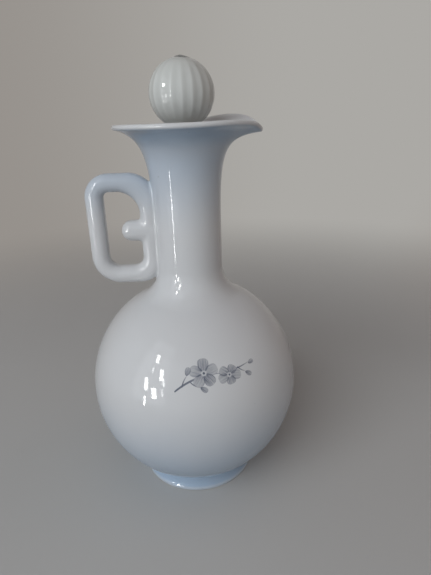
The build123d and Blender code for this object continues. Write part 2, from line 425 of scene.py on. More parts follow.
def mouth_row(place, depth=0.0, beyond=0.0):
    """Radius and height at every azimuth of one row of the mouth, in mm."""
    rim = np.stack([RIM_RADIUS + SPOUT_REACH * spout, rim_height + rise], 1)
    root_radius = rim[:, 0] - RIM_RUN - SPOUT_RUN * spout
    root = np.stack([root_radius, rim_height - RIM_DROP + FLANK_SHARE * rise], 1)
    start = np.tile([NECK_RADIUS, flare_start], (COLUMNS, 1))
    lift = start + [0, FLARE_RISE]
    t, u = place, 1 - place
    point = u**3 * start + 3 * u * u * t * lift + 3 * u * t * t * root + t**3 * rim
    along = 3 * u * u * (lift - start) + 6 * u * t * (root - lift)
    along += 3 * t * t * (rim - root)
    along /= np.linalg.norm(along, axis=1, keepdims=True)
    inward = np.stack([-along[:, 1], along[:, 0]], 1)
    wall = WALL + (LIP - WALL) * place
    return point + inward * wall * depth + along * wall * beyond


flare = np.linspace(0, 1, 61)[1:]
lip_turns = np.radians(np.linspace(0, 180, 13)[1:-1])
mouth_outside = [mouth_row(t) for t in flare]
mouth_lip = [mouth_row(1.0, (1 - math.cos(a)) / 2, math.sin(a) / 2) for a in lip_turns]
mouth_inside = [mouth_row(t, 1.0) for t in flare[::-1]]
print("Mouth:", len(mouth_outside), "rows outside,", len(mouth_lip), "on the lip")

# %% [markdown]
# ### One skin from all the rows
#
# Strips of four-sided faces join neighbouring rows, all wound the same way, so
# they point out of the clay on both sides of the wall. Each point also keeps
# how much of the sprayed tint could reach it: all outside, none inside.

# %% Join rows into a closed skin
HAIR_INSIDE = 0.9993  # the CAD's box is that of its facets, a hair inside the form


def skin(name, rows, reach, looped=False):
    """A mesh from rows of radius and height in mm.

    reach says how much of the tint each row takes. End rows may be poles, and a
    looped skin joins its last row to its first.
    """
    verts, rings, sprayed = [], [], []
    for row, share in zip(rows, reach):
        row = np.asarray(row, float)
        pole = row.ndim == 1 and row[0] < 1e-6
        ring = np.tile(row, (COLUMNS, 1)) if row.ndim == 1 else row
        if pole:
            rings.append([len(verts)] * COLUMNS)
            verts.append((0, 0, row[1] * MM))
            sprayed.append(share)
            continue
        rings.append(range(len(verts), len(verts) + COLUMNS))
        for (r, z), a in zip(ring, azimuths):
            r = r * HAIR_INSIDE
            verts.append((r * math.cos(a) * MM, r * math.sin(a) * MM, z * MM))
        sprayed += [share] * COLUMNS
    faces = []
    for low, high in zip(rings, rings[1:] + rings[:1] if looped else rings[1:]):
        for i in range(COLUMNS):
            j = (i + 1) % COLUMNS
            corners = [low[i], low[j], high[j], high[i]]
            faces.append(tuple(dict.fromkeys(corners)))
    mesh = bpy.data.meshes.new(name)
    mesh.from_pydata(verts, [], faces)
    mesh.attributes.new("sprayed", "FLOAT", "POINT").data.foreach_set("value", sprayed)
    mesh.shade_smooth()
    piece = bpy.data.objects.new(name, mesh)
    scene.collection.objects.link(piece)
    return piece


def without_repeats(rows):
    """Rows with each one that lies on the row before it left out."""
    kept = [rows[0]]
    for row in rows[1:]:
        if np.abs(np.subtract(row, kept[-1])).max() > 0.01:
            kept.append(row)
    return kept


body_outside = without_repeats([row for run in outside_rows for row in run])
body_inside = without_repeats([row for run in inside_rows for row in run])
lip_reach = [max(0.0, 1 - 3 * (i + 1) / len(mouth_lip)) for i in range(len(mouth_lip))]
bottle = skin(
    "bottle_body",
    body_outside + mouth_outside + mouth_lip + mouth_inside + body_inside,
    [1.0] * (len(body_outside) + len(mouth_outside)) + lip_reach
    + [0.0] * (len(mouth_inside) + len(body_inside)),
)
GUIDE_FROM = 70  # height where the guide for the handle begins, on the belly
neck_rows = [row for row in body_outside if row[1] > GUIDE_FROM] + mouth_outside
neck_guide = skin("neck_guide", neck_rows, [1.0] * len(neck_rows))
print(f"bottle_body: {len(bottle.data.polygons)} faces; guide: {len(neck_guide.data.polygons)}")

# %% [markdown]
# ## The handle
#
# The real handle is a flat ring of clay with a thumb nub, stuck to the neck
# with slip, which leaves a small hollow curve. Such a form is hard to draw with
# faces but easy to describe as a distance: that to a rounded ring, joined
# softly with that to the neck. Geometry Nodes fill a block of space with the
# distance and take the surface where it is zero.

# %% Distance to a rounded frame
def rounded(first, second, radius):
    """Distance to a rounded corner of two walls.

    Each wall is given as the distance to it plus the radius.
    """
    beyond = length_of(first.maths("MAXIMUM", 0.0), second.maths("MAXIMUM", 0.0))
    return first.maths("MAXIMUM", second).maths("MINIMUM", 0.0) + beyond - radius


def corner_frame(x, z, half_wide, half_tall, bends):
    """Flat distance to a rectangle with a bend of its own at each corner.

    The bends are those of the grip side's top, the neck side's top, the neck
    side's bottom and the grip side's bottom.
    """
    neck_side = x.maths("GREATER_THAN", 0.0)
    top_side = z.maths("GREATER_THAN", 0.0)
    upper = bends[1] * neck_side + bends[0] * (1 - neck_side)
    lower = bends[2] * neck_side + bends[3] * (1 - neck_side)
    bend = upper * top_side + lower * (1 - top_side)
    return rounded(abs(x) - half_wide + bend, abs(z) - half_tall + bend, bend)


handle_tree, given = new_group("luted_ring", "GeometryNodeTree", {
    "Neck": "Object",
    "Centre Height": flare_start - 3.7, "Ring Height": 45.4,
    "Reach": 40.7, "Neck Side": 12.15,
    "Thickness": 7.3, "Depth": 8.6, "Edge Round": 3.6,
    "Bend Grip Top": 9.65, "Bend Neck Top": 11.2,
    "Bend Neck Bottom": 8.2, "Bend Grip Bottom": 11.85,
    "Eye Bend Top": 8.8, "Eye Bend Bottom": 4.0,
    "Nub Length": 8.0, "Nub Height": 8.4,
    "Nub Centre": flare_start - 4.2, "Nub Root": 3.0,
    "Slip Fillet": 2.2, "Skirt Depth": 0.8,
    "Material": "Material",
}, {"Geometry": "Geometry"})
print("Ring sizes:", len(given) - 2, "named inputs")

# %% Distance to the whole ring
tree = handle_tree
place = add(tree, "GeometryNodeInputPosition")
x, y, z = in_mm(tree, place)
middle = (given["Reach"] + given["Neck Side"]) * -0.5
half_wide = (given["Reach"] - given["Neck Side"]) * 0.5
half_tall = given["Ring Height"] * 0.5
corners = ("Grip Top", "Neck Top", "Neck Bottom", "Grip Bottom")
bends = [given["Bend " + corner] for corner in corners]
flat_x, flat_z = x - middle, z - given["Centre Height"]
outer = corner_frame(flat_x, flat_z, half_wide, half_tall, bends)
thick = given["Thickness"]
eye_bends = [bend - thick for bend in bends]
eye_bends[1], eye_bends[2] = given["Eye Bend Top"], given["Eye Bend Bottom"]
inner = corner_frame(flat_x, flat_z, half_wide - thick, half_tall - thick, eye_bends)
ring = outer.maths("MAXIMUM", -inner)

nub_round = given["Nub Height"] * 0.5
nub_tip = -(given["Neck Side"] + thick + given["Nub Length"]) + nub_round
past_tip = (nub_tip - x).maths("MAXIMUM", 0.0)
past_root = (x + given["Neck Side"] + thick * 0.5).maths("MAXIMUM", 0.0)
nub = length_of(past_tip + past_root, z - given["Nub Centre"]) - nub_round
flat = ring.maths("SMOOTH_MIN", nub, given["Nub Root"])

edge = given["Edge Round"]
solid = rounded(flat + edge, abs(y) - given["Depth"] * 0.5 + edge, edge)
print("Handle tree so far:", len(tree.nodes), "nodes")

# %% [markdown]
# The neck curves into the shoulder below and into the mouth above. So the
# distance to it is measured on the finished outside skin: how far its nearest
# point is, counted as negative on the inner side.

# %% Join the ring to the neck and take the surface
neck_skin = add(tree, "GeometryNodeObjectInfo", {"Object": given["Neck"]}, output=4)
nearest = add(tree, "GeometryNodeProximity", {0: neck_skin}, target_element="FACES")
normal = add(tree, "GeometryNodeInputNormal")
facing = add(tree, "GeometryNodeSampleNearestSurface", {
    "Mesh": neck_skin, "Value": normal,
}, data_type="FLOAT_VECTOR")
offset = add(tree, "ShaderNodeVectorMath", {0: place, 1: nearest}, operation="SUBTRACT")
side = add(tree, "ShaderNodeVectorMath", {0: offset, 1: facing}, output=1, operation="DOT_PRODUCT")
away = add(tree, "ShaderNodeVectorMath", {0: offset}, output=1, operation="LENGTH")
to_neck = away * side.maths("SIGN") * (1 / MM)

SOAKED_IN = 0.03  # the surface is drawn in by this much
SLIP_SPREAD = 1.6  # how far the slip may run from the ring, in fillets
soft = solid.maths("SMOOTH_MIN", to_neck, given["Slip Fillet"]) + SOAKED_IN
trimmed = soft.maths("MAXIMUM", -to_neck - given["Skirt Depth"])
whole = trimmed.maths("MAXIMUM", solid - given["Slip Fillet"] * SLIP_SPREAD)
density = add(tree, "ShaderNodeMapRange", {"Value": whole, "From Min": 1.0, "From Max": -1.0})

VOXEL = 0.27  # distance between the points of the block
low, high = Vector((-42.5, -8, 90)), Vector((-9, 8, 142.5))
cells = [int(round((b - a) / VOXEL)) for a, b in zip(low, high)]
block = add(tree, "GeometryNodeVolumeCube", {
    "Density": density, "Background": 0.0, "Min": low * MM, "Max": high * MM,
    "Resolution X": cells[0], "Resolution Y": cells[1], "Resolution Z": cells[2],
})
surface = add(tree, "GeometryNodeVolumeToMesh", {
    "Volume": block, "Threshold": 0.5, "Adaptivity": 0.0,
})
print("Block of", cells, "points,", len(tree.nodes), "nodes")

# %% [markdown]
# A surface taken from a block of points has tiny steps that would show in a
# glossy glaze. Blurring the places of its points a little, as wiping with a
# wet sponge does, removes them. Where the slip runs out thin on the shoulder, a
# loose flake of a few faces can part from it, so small islands are deleted.

# %% Sponge the surface and finish the tree
SMALLEST_ISLAND = 1000.0  # points; the ring itself has over sixty thousand
island = add(tree, "GeometryNodeInputMeshIsland")
island_size = add(tree, "GeometryNodeAccumulateField", {
    "Value": 1.0, "Group ID": island,
}, output=2)
flake = island_size.maths("LESS_THAN", SMALLEST_ISLAND)
clean = add(tree, "GeometryNodeDeleteGeometry", {"Geometry": surface, "Selection": flake})
sponged = add(tree, "GeometryNodeBlurAttribute", {
    "Value": add(tree, "GeometryNodeInputPosition"), "Iterations": 3,
}, data_type="FLOAT_VECTOR")
wiped = add(tree, "GeometryNodeSetPosition", {"Geometry": clean, "Position": sponged})


def finish_mesh(tree, surface, material):
    """End a geometry tree: smooth shading, plain geometry and its material."""
    smooth = add(tree, "GeometryNodeSetShadeSmooth", {"Geometry": surface})
    single = add(tree, "GeometryNodeRealizeInstances", {"Geometry": smooth})
    give_out(tree, Geometry=add(tree, "GeometryNodeSetMaterial", {
        "Geometry": single, "Material": material,
    }))


finish_mesh(tree, wiped, given["Material"])
print("Handle tree done:", len(tree.nodes), "nodes")


# %% Run a geometry tree
def grown(name, tree, values, start=None):
    """Run a geometry tree on a mesh and return the result as a plain object."""
    seed = bpy.data.objects.new(name, start or bpy.data.meshes.new(name))
    scene.collection.objects.link(seed)
    modifier = seed.modifiers.new("make", "NODES")
    modifier.node_group = tree
    for item in tree.interface.items_tree:
        if item.item_type == "SOCKET" and item.in_out == "INPUT" and item.name in values:
            modifier[item.identifier] = values[item.name]
    seed.update_tag()
    bpy.context.view_layer.update()
    made = seed.evaluated_get(bpy.context.evaluated_depsgraph_get())
    mesh = bpy.data.meshes.new_from_object(made)
    seed.modifiers.clear()
    seed.data = mesh
    return seed


print("Ready to run the trees")

# %% [markdown]
# ## The fluted ball
#
# The stopper's ball carries twenty hollow flutes that die out towards its top
# and foot. Geometry Nodes make them from a rule: a profile line is swept round
# the axis, and each point is drawn in by a depth that depends on where it lies
# across its flute and on its latitude. The arrises between the flutes are soft,
# because glaze never lies on a sharp edge. How near each point is to an arris
# is kept, so the colour can be lighter there.

# %% Tree of the fluted turning
flute_tree, given = new_group("fluted_turning", "GeometryNodeTree", {
    "Profile": "Geometry", "Ball Radius": KNOB_RADIUS, "Ball Height": knob_height,
    "Flutes": 20.0, "Flute Depth": 0.45, "Flute End": FLUTE_END,
    "Glaze Fill": 0.19, "Arris Round": 0.16,
    "Columns": 241, "Rows": 170, "Material": "Material",
}, {"Geometry": "Geometry"})
tree = flute_tree
grid = add(tree, "GeometryNodeMeshGrid", {
    "Size X": 1.0, "Size Y": 1.0, "Vertices X": given["Columns"], "Vertices Y": given["Rows"],
})
across, along, _ = parts_of(tree, add(tree, "GeometryNodeInputPosition"))
across, along = across + 0.5, along + 0.5
line = add(tree, "GeometryNodeMeshToCurve", {"Mesh": given["Profile"]})
on_line = add(tree, "GeometryNodeSampleCurve", {
    "Curves": line, "Factor": along,
}, output=1, mode="FACTOR")
radius, _, level_z = in_mm(tree, on_line)

sine = (level_z - given["Ball Height"]) / given["Ball Radius"]
latitude = within(sine, -1.0, 1.0).maths("ARCSINE") * (180 / math.pi)
fade = within(latitude / given["Flute End"], -1.0, 1.0)
reach = (fade * (math.pi / 2)).maths("COSINE")
from_arris = 1 - abs((across * given["Flutes"]).maths("FRACT") * 2 - 1)
soft_arris = length_of(from_arris, given["Arris Round"]) - given["Arris Round"]
hollow = 1 - (1 - soft_arris) * (1 - soft_arris)
cut = (given["Flute Depth"] - given["Glaze Fill"]) * reach * hollow
turn = across * (2 * math.pi)
drawn = (radius - cut).maths("MAXIMUM", 0.0) * MM
place = joined(tree, drawn * turn.maths("COSINE"), drawn * turn.maths("SINE"), level_z * MM)

marked = add(tree, "GeometryNodeStoreNamedAttribute", {
    "Geometry": grid, "Name": "arris", "Value": (1 - from_arris) * reach,
}, data_type="FLOAT", domain="POINT")
wrapped = add(tree, "GeometryNodeSetPosition", {"Geometry": marked, "Position": place})
closed = add(tree, "GeometryNodeMergeByDistance", {"Geometry": wrapped, "Distance": 1e-6})
finish_mesh(tree, closed, given["Material"])
print("Fluting tree:", len(tree.nodes), "nodes")

# %% [markdown]
# ## Finishes
#
# The glaze is clear and glossy over white porcelain, with a grey-blue tint
# sprayed on the foot, the upper neck and the top of the handle. It pools and
# flows a little, which bends the highlights. All the glazed pieces share two
# node groups, one for the tint and one for the flow, with values of their own.

# %% Group: tint sprayed from below and above
spray_group, given = new_group("sprayed_tint", "ShaderNodeTree", {
    "Position": None, "Reach": 1.0,
    "Body Colour": colour(206, 207, 209), "Tint Colour": colour(138, 166, 194),
    "Foot Tint": 0.76, "Foot Full": 7.0, "Foot Fades Out": 62.0,
    "Mouth Tint": 0.42, "Mouth Starts": 114.0, "Mouth Full": 145.0,
    "Lip Tint": 0.30, "Lip Starts": 147.0, "Lip Full": 153.0,
}, {"Colour": "Color"})
tree, place = spray_group, given["Position"]
z = parts_of(tree, place)[2] * (1 / MM)
drift = noise(tree, place, 45.0, 2.0)
height = z + (drift - 0.5) * 7.0
foot = ramp(tree, height, given["Foot Full"], given["Foot Fades Out"], ends=(1.0, 0.0))
# the tint fades to half over the lowest 2.4 mm, so the foot's bottom edge is paler
paler_foot_edge = ramp(tree, z, 2.4, 1.1) * 0.5
below = foot * given["Foot Tint"] * (1 - paler_foot_edge)
mouth = ramp(tree, height, given["Mouth Starts"], given["Mouth Full"])
lip = ramp(tree, z, given["Lip Starts"], given["Lip Full"])
over = mouth * given["Mouth Tint"] + lip * given["Lip Tint"]
droplets = 0.94 + noise(tree, place, 2600.0, 1.0) * 0.12
share = below.maths("MAXIMUM", over) * given["Reach"] * droplets
give_out(tree, Colour=mixed(tree, share, given["Body Colour"], given["Tint Colour"]))
print("sprayed_tint:", len(tree.nodes), "nodes")

# %% Group: flow of the glaze
flow_group, given = new_group("glaze_flow", "ShaderNodeTree", {
    "Position": None, "Wave Size": 14.0, "Wave Depth": 0.03,
    "Ripple Size": 1.6, "Ripple Depth": 0.0006, "Gloss Roughness": 0.055,
}, {"Height": "Float", "Roughness": "Float", "Speck": "Float"})
tree, place = flow_group, given["Position"]
waves = noise(tree, place, (given["Wave Size"] * MM).maths("POWER", -1.0), 1.0)
ripples = noise(tree, place, (given["Ripple Size"] * MM).maths("POWER", -1.0), 2.0)
height = (waves - 0.5) * given["Wave Depth"] + (ripples - 0.5) * given["Ripple Depth"]
haze = noise(tree, place, 70.0, 4.0)
roughness = given["Gloss Roughness"] * (0.8 + haze * 0.4)
from_cell = add(tree, "ShaderNodeTexVoronoi", {"Vector": place, "Scale": 85.0}, feature="F1")
speck = ramp(tree, from_cell, 0.028, 0.016)
give_out(tree, Height=height, Roughness=roughness, Speck=speck)
print("glaze_flow:", len(tree.nodes), "nodes")

# %% [markdown]
# ### Brush painting
#
# The belly carries one small motif in a thin grey-blue wash: here a plain
# blossom sprig. A brush leaves a stroke that starts thin, swells and ends in a
# soft tip, is darker at its edge where the wash pools, and shows the lines of
# the bristles. One group draws such a stroke, and the sprig is a list of them.

# %% Group: one brush stroke
stroke_group, given = new_group("brush_stroke", "ShaderNodeTree", {
    "U": 0.0, "V": 0.0, "Root U": 0.0, "Root V": 0.0,
    "Angle": 0.0, "Length": 3.0, "Width": 1.5, "Bend": 0.0,
    "Root Taper": 0.7, "Tip Taper": 0.4, "Ink": 0.7, "Bristle Marks": 0.7,
}, {"Wash": "Float", "Cover": "Float"})
tree = stroke_group
turned = given["Angle"] * (math.pi / 180)
du, dv = given["U"] - given["Root U"], given["V"] - given["Root V"]
cosine, sine = turned.maths("COSINE"), turned.maths("SINE")
along = (du * cosine + dv * sine) / given["Length"]
held = within(along, 0.0, 1.0)
across = dv * cosine - du * sine - given["Bend"] * 4 * held * (1 - held)
from_root = held.maths("POWER", given["Root Taper"])
from_tip = (1 - held).maths("POWER", given["Tip Taper"])
inside = given["Width"] * from_root * from_tip - abs(across)
edge = ramp(tree, inside, -0.05, 0.3)
pooled = ramp(tree, inside, 0.6, 0.1)
own = given["Root U"] + given["Root V"] * 3.1
bristles = add(tree, "ShaderNodeTexNoise", {
    "Vector": joined(tree, along * given["Length"] * 0.22, across * 2.6, own),
    "Scale": 1.0, "Detail": 3.0, "Roughness": 0.65,
})
marks = 1 + (bristles - 0.5) * 3.4 * given["Bristle Marks"]
wash = given["Ink"] * (0.72 + pooled * 0.28) * (1.12 - held * 0.5) * marks
cover = edge * along.maths("GREATER_THAN", 0.0) * along.maths("LESS_THAN", 1.0)
give_out(tree, Wash=within(wash, 0.0, 1.0) * cover, Cover=cover)
print("brush_stroke:", len(tree.nodes), "nodes")

# %% Strokes of the sprig, in mm on the belly
PETAL = {"Root Taper": 0.62, "Tip Taper": 0.36, "Bristle Marks": 0.75}
STEM = {"Root Taper": 0.10, "Tip Taper": 0.35, "Bristle Marks": 0.3}


def stroke(u, v, angle, length, width, ink, bend=0.0, kind=PETAL):
    """Values of one stroke, under the names of the group's inputs."""
    return {"Root U": u, "Root V": v, "Angle": angle, "Length": length, "Width": width,
            "Ink": ink, "Bend": bend, **kind}


def blossom(u, v, size, turn, flattened=1.0):
    """Five petal strokes round a centre; flattened is below 1 for a side view."""
    strokes = []
    for i in range(5):
        angle = math.radians(turn + 360 / 5 * i)
        reach = math.hypot(math.cos(angle), math.sin(angle) * flattened)
        lean = math.atan2(math.sin(angle) * flattened, math.cos(angle))
        strokes.append(stroke(
            u + 0.3 * math.cos(lean), v + 0.3 * math.sin(lean), math.degrees(lean),
            size * reach, size * 0.82, 0.72 + 0.12 * (i * 2 % 3),
        ))
    return strokes


stems = [
    stroke(-15.0, -3.6, 12, 19.5, 0.62, 1.15, 1.7, STEM),
    stroke(3.0, 0.7, 11, 12.4, 0.52, 1.15, -0.6, STEM),
    stroke(-12.0, -2.4, 58, 4.8, 0.42, 1.1, 0.3, STEM),
    stroke(-8.6, -1.0, -34, 4.6, 0.42, 1.1, -0.4, STEM),
    stroke(10.0, 1.9, -32, 4.0, 0.42, 1.1, -0.3, STEM),
]
petals = [
    *blossom(-3.2, 1.5, 5.2, 16),
    *blossom(6.4, -0.5, 4.5, -8, 0.74),
    stroke(-9.8, 1.5, 64, 3.3, 2.3, 0.95),
    stroke(-5.2, -3.4, -36, 3.2, 2.1, 0.95),
    stroke(13.1, -0.4, -26, 3.0, 2.0, 0.95),
    stroke(14.9, 2.5, 20, 2.7, 1.8, 1.0),
]
hearts = [(-3.2, 1.5, 0.62), (6.4, -0.5, 0.5)]
print(f"Sprig: {len(stems)} stems, {len(petals)} petals and buds")

# %% Group: the sprig
def layer(tree, u, v, strokes):
    """Ink that the strokes lay on together, and the share that they leave open."""
    bare, open_ground = 1.0, 1.0
    for values in strokes:
        laid = use(tree, stroke_group, {"U": u, "V": v, **values}, output=None)
        bare = (1 - laid["Wash"]) * bare
        open_ground = (1 - laid["Cover"]) * open_ground
    return 1 - bare, open_ground


sprig_group, given = new_group("painted_sprig", "ShaderNodeTree", {
    "Position": None,
}, {"Wash": "Float"})
tree = sprig_group
x, y, z = in_mm(tree, given["Position"])
u = x.maths("ARCTAN2", -y) * BELLY_RADIUS
v = z.maths("ARCTAN2", length_of(x, y)) * BELLY_RADIUS
petal_ink, beside_petals = layer(tree, u, v, petals)
stem_ink, _ = layer(tree, u, v, stems)
total = petal_ink + stem_ink * beside_petals
for cu, cv, size in hearts:
    from_heart = length_of(u - cu, v - cv)
    total = total * (1 - ramp(tree, from_heart, size + 0.7, size + 0.1) * 0.75)
    total = total + ramp(tree, from_heart, size * 0.7 + 0.14, size * 0.7 - 0.1)
front = y.maths("LESS_THAN", 0.0)
give_out(tree, Wash=total.maths("MINIMUM", 1.0) * front)
print("painted_sprig:", len(tree.nodes), "nodes")

# %% [markdown]
# ### Materials
#
# Each material keeps its own Principled shader. The groups feed only its
# colour, its roughness and the height of a Bump node. The ring that the bottle
# stands on is wiped free of glaze before firing, so it is matt and a bit warm.

# %% Start a glazed material
PAINT, DAB, ARRIS = colour(92, 98, 114), colour(58, 64, 68), colour(220, 222, 220)
IRON_SPECK, BARE_CLAY = colour(120, 116, 108), colour(176, 166, 152)


def new_material(name):
    """A material with only a Principled shader; returns it, its tree and shader."""
    material = bpy.data.materials.new(name)
    material.use_nodes = True
    tree = material.node_tree
    tree.nodes.clear()
    shader = tree.nodes.new("ShaderNodeBsdfPrincipled")
    result = tree.nodes.new("ShaderNodeOutputMaterial")
    tree.links.new(shader.outputs[0], result.inputs["Surface"])
    return material, tree, shader


def glazed(name, spray, flow, reach=1.0, extra=None):
    """A glaze over porcelain.

    reach is a number, or the name of a point attribute. extra may change the
    colour: it is called with the tree, the position and the colour, and returns
    the new colour.
    """
    material, tree, shader = new_material(name)
    place = add(tree, "ShaderNodeTexCoord", output=3)
    if isinstance(reach, str):
        reach = add(tree, "ShaderNodeAttribute", output=2, attribute_name=reach)
    tint = use(tree, spray_group, {"Position": place, "Reach": reach, **spray})
    surface = use(tree, flow_group, {"Position": place, **flow}, output=None)
    tint = mixed(tree, surface["Speck"] * 0.35, tint, IRON_SPECK)
    if extra:
        tint = extra(tree, place, tint)
    unglazed = ramp(tree, parts_of(tree, place)[2], 0.45 * MM, 0.2 * MM)
    tint = mixed(tree, unglazed, tint, BARE_CLAY)
    wire(tree, tint, shader.inputs["Base Color"])
    roughness = surface["Roughness"] * (1 - unglazed) + unglazed * 0.75
    wire(tree, roughness, shader.inputs["Roughness"])
    bump = add(tree, "ShaderNodeBump", {
        "Height": surface["Height"], "Distance": MM, "Strength": 1.0,
    })
    wire(tree, bump, shader.inputs["Normal"])
    shader.inputs["IOR"].default_value = 1.5
    return material


MOTIF_TURN, MOTIF_RISE, MOTIF_LEAN = (math.radians(angle) for angle in (9.1, 29.1, 1.0))


def with_sprig(tree, place, tint):
    """Paint the sprig on the front of the belly."""
    faced = add(tree, "ShaderNodeMapping", {
        "Vector": place, "Location": (0, 0, -belly_height * MM),
        "Rotation": (0, 0, -MOTIF_TURN),
    })
    raised = add(tree, "ShaderNodeMapping", {
        "Vector": faced, "Rotation": (MOTIF_RISE, MOTIF_LEAN, 0),
    })
    wash = use(tree, sprig_group, {"Position": raised})
    outer = add(tree, "ShaderNodeAttribute", output=2, attribute_name="sprayed")
    return mixed(tree, wash * outer, tint, PAINT)


bottle_glaze = glazed("bottle_glaze", {}, {}, reach="sprayed", extra=with_sprig)
print("Bottle's glaze ready")

# %% Glaze of the handle and of the ball
handle_glaze = glazed("handle_glaze", {
    "Mouth Starts": 118.0, "Mouth Full": 138.0, "Mouth Tint": 0.36,
}, {"Wave Size": 8.0, "Wave Depth": 0.015})


def with_dab(tree, place, tint):
    """Lighter arrises, and one dark dab of paint on the tip of the ball."""
    arris = add(tree, "ShaderNodeAttribute", output=2, attribute_name="arris")
    tint = mixed(tree, arris * arris * 0.45, tint, ARRIS)
    x, y, z = in_mm(tree, place)
    wobble = noise(tree, place, 520.0, 2.0)
    from_middle = length_of(x - 0.8, y + 1.5) + (wobble - 0.5) * 1.1
    dab = ramp(tree, from_middle, 3.2, 2.8) * z.maths("GREATER_THAN", knob_height)
    return mixed(tree, dab * 0.95, tint, DAB)


knob_glaze = glazed("knob_glaze", {
    "Body Colour": colour(195, 197, 194), "Mouth Tint": 0.0, "Lip Tint": 0.0,
}, {"Wave Size": 6.0, "Wave Depth": 0.012}, extra=with_dab)
print("Glazes ready")

# %% Cork
TAN, PALE_TAN, PIT = colour(178, 132, 88), colour(205, 165, 118), colour(92, 58, 36)
cork, tree, shader = new_material("cork")
place = add(tree, "ShaderNodeTexCoord", output=3)
stretched = add(tree, "ShaderNodeMapping", {"Vector": place, "Scale": (1, 1, 2.2)})
mottle = noise(tree, place, 420.0, 6.0)
from_cell = add(tree, "ShaderNodeTexVoronoi", {"Vector": stretched, "Scale": 330.0}, feature="F1")
pits = ramp(tree, from_cell + (mottle - 0.5) * 0.5, 0.30, 0.14)
bark = mixed(tree, mottle, TAN, PALE_TAN)
wire(tree, mixed(tree, pits, bark, PIT), shader.inputs["Base Color"])
wire(tree, 0.78 + pits * 0.15, shader.inputs["Roughness"])
dents = add(tree, "ShaderNodeBump", {"Height": mottle * 0.12 - pits * 0.35, "Distance": MM})
wire(tree, dents, shader.inputs["Normal"])
print("Cork ready")

# %% [markdown]
# ## Make the pieces and hand them to the frame
#
# Each piece gets its material, stands for its CAD node and rides on the body of
# that node.

# %% Bottle
def hand_over(piece, node, body):
    """Put a finished piece in the place of a CAD node."""
    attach(piece, body)
    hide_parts(node)
    mesh = piece.data
    low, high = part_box(node)
    got = np.array([v.co for v in mesh.vertices])
    print(f"{piece.name}: {len(mesh.polygons)} faces; box in mm",
          np.round(got.min(0) / MM, 2), np.round(got.max(0) / MM, 2),
          "CAD", [round(v / MM, 2) for v in (*low, *high)])


bottle.data.materials.append(bottle_glaze)
hand_over(bottle, "bottle", "bottle")

# %% Handle
handle = grown("ring_handle", handle_tree, {"Neck": neck_guide, "Material": handle_glaze})
bpy.data.objects.remove(neck_guide)
hand_over(handle, "handle", "bottle")

# %% Ball stopper
UNDER_BOX = 0.005  # the tip stays this far under the CAD's box
ball_from = math.degrees(math.acos(COLLAR_RADIUS / KNOB_RADIUS))
ball_end = math.radians(FLUTE_END)
outward = np.array([math.cos(ball_end), math.sin(ball_end)])
edge_point = np.array([0.0, knob_height]) + KNOB_RADIUS * outward
pole = np.array([0.0, knob_height + KNOB_RISE - UNDER_BOX])
gap = edge_point - pole
dome_radius = gap @ gap / (2 * outward @ gap)
dome = edge_point - outward * dome_radius
stem = [
    (0, STEM_FOOT), (STEM_RADIUS - 0.5, STEM_FOOT), (STEM_RADIUS - 0.15, STEM_FOOT + 0.15),
    (STEM_RADIUS, STEM_FOOT + 0.5), (STEM_RADIUS, CORK_TOP),
]
collar = [
    (COLLAR_RADIUS - 0.3, CORK_TOP), (COLLAR_RADIUS - 0.1, CORK_TOP + 0.1),
    (COLLAR_RADIUS, CORK_TOP + 0.3),
]
profile = np.concatenate([
    stem, collar,
    arc((0, knob_height), KNOB_RADIUS, -ball_from, FLUTE_END, 80),
    arc(dome, dome_radius, FLUTE_END, direction(dome, pole), 14)[1:],
])
line_mesh = bpy.data.meshes.new("knob_profile")
line_points = [(r * MM, 0, z * MM) for r, z in profile]
line_mesh.from_pydata(line_points, [(i, i + 1) for i in range(len(profile) - 1)], [])
knob = grown("fluted_ball", flute_tree, {"Material": knob_glaze}, start=line_mesh)
hand_over(knob, "stopper_knob", "stopper")

# %% Cork sleeve
seat = bore_radius - CORK_CLEARANCE
cork_rows = [
    (STEM_RADIUS, CORK_FOOT), (seat - 1.2, CORK_FOOT),
    (seat - 0.8, CORK_FOOT + 0.15), (seat - 0.6, CORK_FOOT + 0.6),
    *straight((seat - 0.58, CORK_FOOT + 1), (seat - 0.1, CORK_FOOT + 4), 3),
    (seat, CORK_FOOT + 5),
    *straight((seat, CORK_FOOT + 6), (seat, CORK_TOP - 1.5), 14),
    (seat, CORK_TOP - 0.6), (seat - 0.25, CORK_TOP - 0.1), (seat - 0.6, CORK_TOP),
    (STEM_RADIUS, CORK_TOP),
]
sleeve = skin("cork_sleeve", cork_rows, [0.0] * len(cork_rows), looped=True)
sleeve.data.materials.append(cork)
hand_over(sleeve, "stopper_cork", "stopper")

# %% [markdown]
# ## Floor and light
#
# A glossy white piece is shown by what it reflects and by soft shading from
# one side. Wide soft light from the left and a little from above shapes the
# form, a weak warm light fills the right, and that side is left darker. The
# floor is plain and pale and rises in one sweep that goes all the way round, so
# any side can be looked at. Away from the piece the paper glows by itself, to
# the camera and in the gloss.

# %% Floor
def sweep_mesh(name, rows, columns=96):
    """An open turned surface from radius and height in metres."""
    turns = [2 * math.pi * i / columns for i in range(columns)]
    verts = [(r * math.cos(a), r * math.sin(a), z) for r, z in rows for a in turns]
    faces = [
        (k * columns + i, k * columns + (i + 1) % columns,
         (k + 1) * columns + (i + 1) % columns, (k + 1) * columns + i)
        for k in range(len(rows) - 1) for i in range(columns)
    ]
    faces.append(tuple(reversed(range(columns))))
    mesh = bpy.data.meshes.new(name)
    mesh.from_pydata(verts, [], faces)
    mesh.flip_normals()
    mesh.shade_smooth()
    made = bpy.data.objects.new(name, mesh)
    scene.collection.objects.link(made)
    return made


